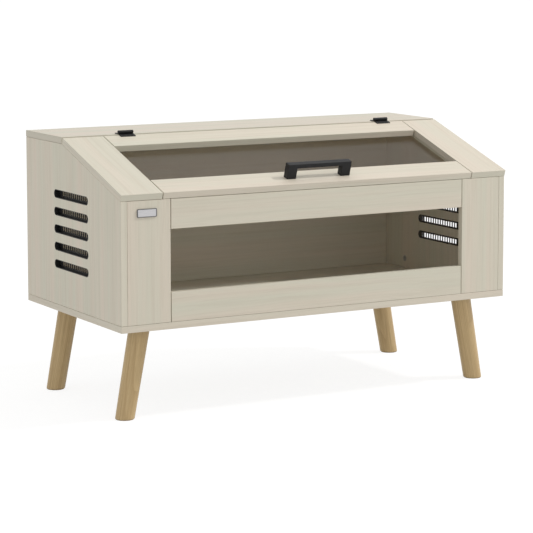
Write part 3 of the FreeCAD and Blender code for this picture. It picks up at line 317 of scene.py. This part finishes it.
def clear_sheet(name, alpha):
    """Thin clear acrylic with a faint haze and a polished face, and a dark tint that lays painted shade over
    what is behind, as far as alpha lets it.
    """
    material, tree = new_material(name)
    rough = spread(tree, even_noise(tree, object_place(tree), 6.0), 0.03, 0.09)
    settings = {"Base Color": linear(SHEET_PAINTED_SHADE_TINT), "Roughness": rough, "IOR": 1.49, "Alpha": alpha}
    return finish_material(material, settings)


def cut_edge(name):
    """The sheet's sawn side edges, dull, in a pale colour that is partly their own frosting and partly
    painted glow.
    """
    material, tree = new_material(name)
    marks = even_noise(tree, object_place(tree), 400.0)
    tint = blend_colour(tree, spread(tree, marks), linear(SHEET_EDGE_AND_PAINTED_GLOW), linear(shaded(SHEET_EDGE_AND_PAINTED_GLOW, 0.94)))
    return finish_material(material, {"Base Color": tint, "Roughness": spread(tree, marks, 0.5, 0.7)})


def dress(names, *materials):
    """Gives nodes their materials, one for each slot."""
    for name in names:
        mesh = nodes[name].data
        mesh.materials.clear()
        for material in materials:
            mesh.materials.append(material)


def pick_faces(name, slot, test):
    """Gives one of a node's material slots to the faces that pass the test."""
    for face in nodes[name].data.polygons:
        if test(face):
            face.material_index = slot


def slope_direction():
    """The way up the slope, along the largest upper face of a slope strip."""
    faces = nodes["left_slope_strip"].data.polygons
    upper = max(faces, key=lambda face: face.area * face.normal.z)
    return upper.normal.cross(X_AXIS)


def dress_board(name, along, across, seed):
    """Laminate with its grain along the board, and across it on the two ends."""
    third = along.cross(across)
    # The top board's laminate is darkened here as painted shade, and the left side panel's is lightened as
    # painted light.
    shade = BOARD_PAINTED_SHADING.get(name, 1.0)
    body = laminate(f"laminate_{name}", (along, across, third), seed, shade)
    ends = laminate(f"laminate_{name}_ends", (across, along, third), seed + 0.5, shade)
    dress([name], body, ends)
    pick_faces(name, 1, lambda face: abs(face.normal.dot(along)) > FACING)


def dress_strip_edge_painted_shade(name, along, inward, seed):
    """A darker laminate on the edge of a strip that faces the lid: painted shade for the narrow gap beside
    the lid.
    """
    axes = (along, X_AXIS.cross(along), X_AXIS)
    edge = laminate(f"laminate_{name}_edge", axes, seed, STRIP_EDGE_PAINTED_SHADE)
    nodes[name].data.materials.append(edge)
    pick_faces(name, 2, lambda face: face.normal.x * inward > FACING)


def dress_boards():
    """Gives each board its laminate, by the direction of its grain and the one across its face."""
    slope = slope_direction()
    boards = {
        "bottom_board": (X_AXIS, Y_AXIS),
        "top_board": (X_AXIS, Y_AXIS),
        "back_panel": (X_AXIS, Z_AXIS),
        "left_side_panel": (Z_AXIS, Y_AXIS),
        "right_side_panel": (Z_AXIS, Y_AXIS),
        "left_front_stile": (Z_AXIS, X_AXIS),
        "right_front_stile": (Z_AXIS, X_AXIS),
        "front_top_rail": (X_AXIS, Z_AXIS),
        "front_bottom_rail": (X_AXIS, Z_AXIS),
        "left_slope_strip": (slope, X_AXIS),
        "right_slope_strip": (slope, X_AXIS),
        "lid_front_rail": (X_AXIS, slope),
        "lid_rear_rail": (X_AXIS, slope),
    }
    for seed, (name, (along, across)) in enumerate(boards.items(), start=1):
        dress_board(name, along, across, seed)
    # The strips' edges by the lid get a darker laminate, which is painted shade.
    dress_strip_edge_painted_shade("left_slope_strip", slope, inward=1, seed=21)
    dress_strip_edge_painted_shade("right_slope_strip", slope, inward=-1, seed=22)


def dress_sheets():
    """Clear faces with a dark tint of painted shade, and pale cut edges, partly painted glow, at the sides
    of the lid's sheet.
    """
    dress(["front_window_pane"], clear_sheet("window_acrylic", WINDOW_ALPHA))
    dress(["lid_window_pane"], clear_sheet("lid_acrylic", LID_PAINTED_SHADE_ALPHA), cut_edge("acrylic_cut_edge"))
    pick_faces("lid_window_pane", 1, lambda face: abs(face.normal.x) > FACING)


def dress_legs():
    """Each leg gets the grain of its own frame, from the centre of its glide to its plate."""
    legs = ("front_left_leg", "front_right_leg", "rear_left_leg", "rear_right_leg")
    for number, name in enumerate(legs, start=1):
        low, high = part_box(f"{name}_glide")
        foot = ((low.x + high.x) / 2, (low.y + high.y) / 2, 0.0)
        plate_low, plate_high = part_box(f"{name}_plate")
        reach = (plate_low.x + plate_high.x) / 2 - foot[0]
        lean = math.atan2(reach, plate_high.z)
        dress([name], oak(f"oak_{name}", foot, lean, number * HEART_TURN))


def dress_badge():
    """A satin field inside a dark raised rim. The field's faces look forward, and lie behind the rim's."""
    field = bright_metal("badge_field", BADGE_FIELD, 0.34, 60.0, 2600.0)
    rim = moulded("badge_rim", BADGE_RIM, 4000.0, 0.4, 0.01 * MM)
    dress(["badge_plate"], rim, field)
    low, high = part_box("badge_plate")
    rim_width = BADGE_RIM_SHARE * (high.z - low.z)
    margin = Vector((rim_width, BADGE_SKIN, rim_width))
    start = low + margin
    end = high - margin

    def in_field(face):
        inside = all(a < c < b for a, c, b in zip(start, face.center, end))
        return inside and -face.normal.y > FACING

    pick_faces("badge_plate", 1, in_field)


def dress_fittings():
    """The plastic, painted and plated pieces, found by what their names say."""
    hinges = [n for n in nodes if "hinge" in n]
    grilles = [n for n in nodes if "vent_grille" in n]
    glides = [n for n in nodes if n.endswith("_glide")]
    screws = [n for n in nodes if n.endswith("_screws") and "hinge" not in n]
    plated = [n for n in nodes if n.endswith("_leg_plate")]
    plated += ["cam_bolts", "cam_locks", "leg_hanger_bolts"]
    dress(grilles, moulded("black_plastic", BLACK_PLASTIC, 2500.0, 0.5, 0.03 * MM))
    dress(hinges, moulded("black_hinge_paint", HINGE_PAINT, 5000.0, 0.42, 0.02 * MM, 0.25))
    dress(["lid_handle"], moulded("black_powder_coat", BLACK_PAINT, 2200.0, 0.50, 0.05 * MM, 0.25))
    dress(screws + plated, bright_metal("zinc_plate", ZINC, 0.34, 900.0, 900.0))
    dress(glides, moulded("glide_plastic", GLIDE, 1800.0, 0.55, 0.04 * MM))
    dress(["lid_bumpers"], moulded("soft_bumper", RUBBER, 1500.0, 0.5, 0.03 * MM))
    dress(["wood_dowels"], plain_wood("raw_beech"))


def make_camera():
    """The photograph's camera, looking along Y at zero angles."""
    camera = bpy.data.objects.new("camera", bpy.data.cameras.new("camera"))
    camera.data.lens = CAMERA_LENS
    camera.data.sensor_width = CAMERA_SENSOR
    camera.data.shift_y = CAMERA_SHIFT
    camera.data.clip_end = CAMERA_FAR_END
    tilt = math.radians(90 + CAMERA_ELEVATION)
    turn = Euler((tilt, 0.0, math.radians(CAMERA_AZIMUTH))).to_matrix().to_4x4()
    roll = Matrix.Rotation(math.radians(CAMERA_ROLL), 4, "Z")
    camera.matrix_world = Matrix.Translation(CAMERA_PLACE) @ turn @ roll
    bpy.context.scene.collection.objects.link(camera)
    bpy.context.scene.camera = camera


def seen_rays(tree):
    """1 for rays that come from the camera, a reflection or a clear sheet, and 0 for all others."""
    path = add(tree, "LightPath")
    both = calculate(tree, "MAXIMUM", path.outputs["Is Camera Ray"], path.outputs["Is Glossy Ray"])
    return calculate(tree, "MAXIMUM", both, path.outputs["Is Transmission Ray"])


def grey(level):
    return (level, level, level, 1.0)


def make_floor():
    """A pale floor that shows white, with the object's soft shadow."""
    bpy.ops.mesh.primitive_plane_add(size=FLOOR_SIZE)
    floor = bpy.context.object
    floor.name = "floor"
    material, tree = new_material("floor")
    bounce = add(tree, "BsdfDiffuse", {"Color": grey(FLOOR_BOUNCE)}).outputs[0]
    shown = add(tree, "BsdfDiffuse", {"Color": grey(FLOOR_SHOWN)}).outputs[0]
    glow = add(tree, "Emission", {"Color": grey(1.0), "Strength": FLOOR_GLOW}).outputs[0]
    lifted = add(tree, "AddShader", (shown, glow)).outputs[0]
    mixed = add(tree, "MixShader", (seen_rays(tree), bounce, lifted)).outputs[0]
    add(tree, "OutputMaterial", {"Surface": mixed})
    floor.data.materials.append(material)


def make_world():
    """Even light on the object, in front of a white background."""
    world = bpy.data.worlds.new("studio")
    world.use_nodes = True
    tree = world.node_tree
    tree.nodes.clear()
    light = add(tree, "Background", {"Color": WORLD_COLOUR, "Strength": WORLD_LIGHT}).outputs[0]
    shown = add(tree, "Background", {"Color": grey(1.0), "Strength": 1.0}).outputs[0]
    mixed = add(tree, "MixShader", (seen_rays(tree), light, shown)).outputs[0]
    add(tree, "OutputWorld", {"Surface": mixed})
    bpy.context.scene.world = world


def make_lamp():
    """A round lamp that is aimed at the middle of the object."""
    lamp = bpy.data.objects.new("key", bpy.data.lights.new("key", "AREA"))
    lamp.data.shape = "DISK"
    lamp.data.size = LAMP_SIZE
    lamp.data.energy = LAMP_POWER
    lamp.location = LAMP_PLACE
    middle = (cad_bounds[0] + cad_bounds[1]) / 2
    lamp.rotation_euler = (middle - LAMP_PLACE).to_track_quat("-Z", "Y").to_euler()
    bpy.context.scene.collection.objects.link(lamp)


make_camera()
dress_boards()
dress_legs()
dress_badge()
dress_sheets()
dress_fittings()
make_floor()
make_world()
make_lamp()
bpy.context.scene.view_settings.view_transform = "Standard"
